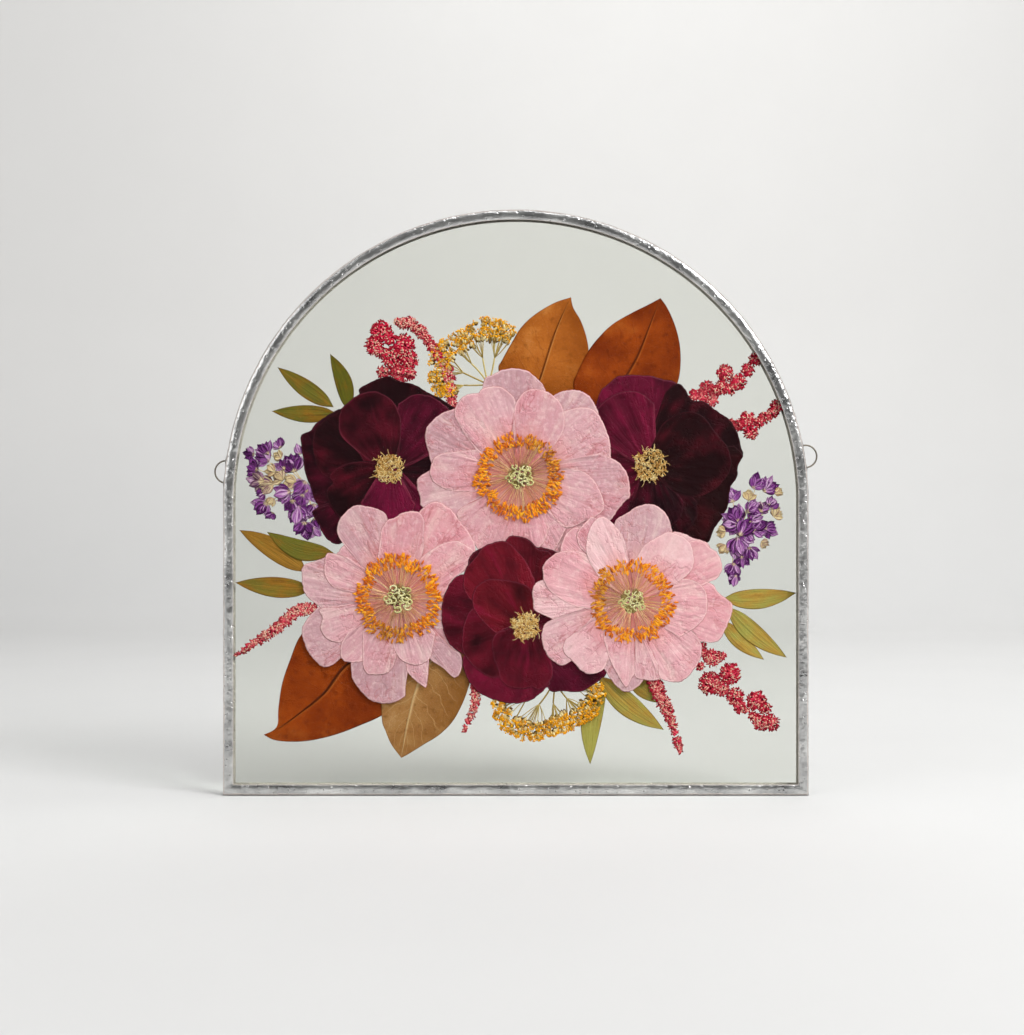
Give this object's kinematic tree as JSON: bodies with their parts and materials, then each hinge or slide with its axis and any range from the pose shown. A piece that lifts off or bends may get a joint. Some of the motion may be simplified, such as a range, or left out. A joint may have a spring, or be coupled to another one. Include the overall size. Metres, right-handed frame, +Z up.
{
  "type": "pressed flower frame",
  "caption": "Arched double-glass frame holding pressed peonies, dark blooms, leaves and sprigs, with a soldered metal border and wire loops to hang it by.",
  "frame": {"origin": "middle of the bottom edge, where the frame stands, halfway through its thickness", "axes": "+X is the width, to the right when seen from the front; +Z is up; the front faces -Y, so +Y is the way through the glass to the back"},
  "size_m": [0.3148, 0.0088, 0.305],
  "materials": {
    "glass": "clear",
    "solder": "dull tinned solder",
    "wire": "tarnished wire",
    "peony_petal": "matte",
    "peony_stamen": "matte",
    "peony_carpel": "matte",
    "burgundy_petal": "matte",
    "straw": "matte",
    "magnolia_leaf": "satin",
    "olive_leaf": "satin",
    "amaranth": "matte",
    "yarrow": "matte",
    "larkspur": "matte"
  },
  "bodies": {
    "root": {"glass_front": "glass", "glass_back": "glass", "solder_border": "solder", "hang_loop_left": "wire", "hang_loop_right": "wire", "magnolia_leaf_low_left": "magnolia_leaf", "magnolia_leaf_low_right": "magnolia_leaf", "magnolia_leaf_top_left": "magnolia_leaf", "magnolia_leaf_top_right": "magnolia_leaf", "narrow_leaf_01": "olive_leaf", "narrow_leaf_02": "olive_leaf", "narrow_leaf_03": "olive_leaf", "narrow_leaf_04": "olive_leaf", "narrow_leaf_05": "olive_leaf", "narrow_leaf_06": "olive_leaf", "narrow_leaf_07": "olive_leaf", "narrow_leaf_08": "olive_leaf", "narrow_leaf_09": "olive_leaf", "narrow_leaf_10": "olive_leaf", "narrow_leaf_11": "olive_leaf", "narrow_leaf_12": "olive_leaf", "amaranth_top_red": "amaranth", "amaranth_top_pink": "amaranth", "amaranth_right_upper": "amaranth", "amaranth_right_lower": "amaranth", "amaranth_left": "amaranth", "amaranth_low_left": "amaranth", "amaranth_low_middle": "amaranth", "amaranth_low_right": "amaranth", "yarrow_head_top": "yarrow", "yarrow_head_bottom": "yarrow", "larkspur_left": "larkspur", "larkspur_right": "larkspur", "burgundy_left_outer_petals": "burgundy_petal", "burgundy_left_inner_petals": "burgundy_petal", "burgundy_left_centre": "straw", "burgundy_right_outer_petals": "burgundy_petal", "burgundy_right_inner_petals": "burgundy_petal", "burgundy_right_centre": "straw", "burgundy_bottom_outer_petals": "burgundy_petal", "burgundy_bottom_inner_petals": "burgundy_petal", "burgundy_bottom_centre": "straw", "peony_top_outer_petals": "peony_petal", "peony_top_inner_petals": "peony_petal", "peony_top_stamens": "peony_stamen", "peony_top_carpels": "peony_carpel", "peony_left_outer_petals": "peony_petal", "peony_left_inner_petals": "peony_petal", "peony_left_stamens": "peony_stamen", "peony_left_carpels": "peony_carpel", "peony_right_outer_petals": "peony_petal", "peony_right_inner_petals": "peony_petal", "peony_right_stamens": "peony_stamen", "peony_right_carpels": "peony_carpel"}
  },
  "joints": []
}
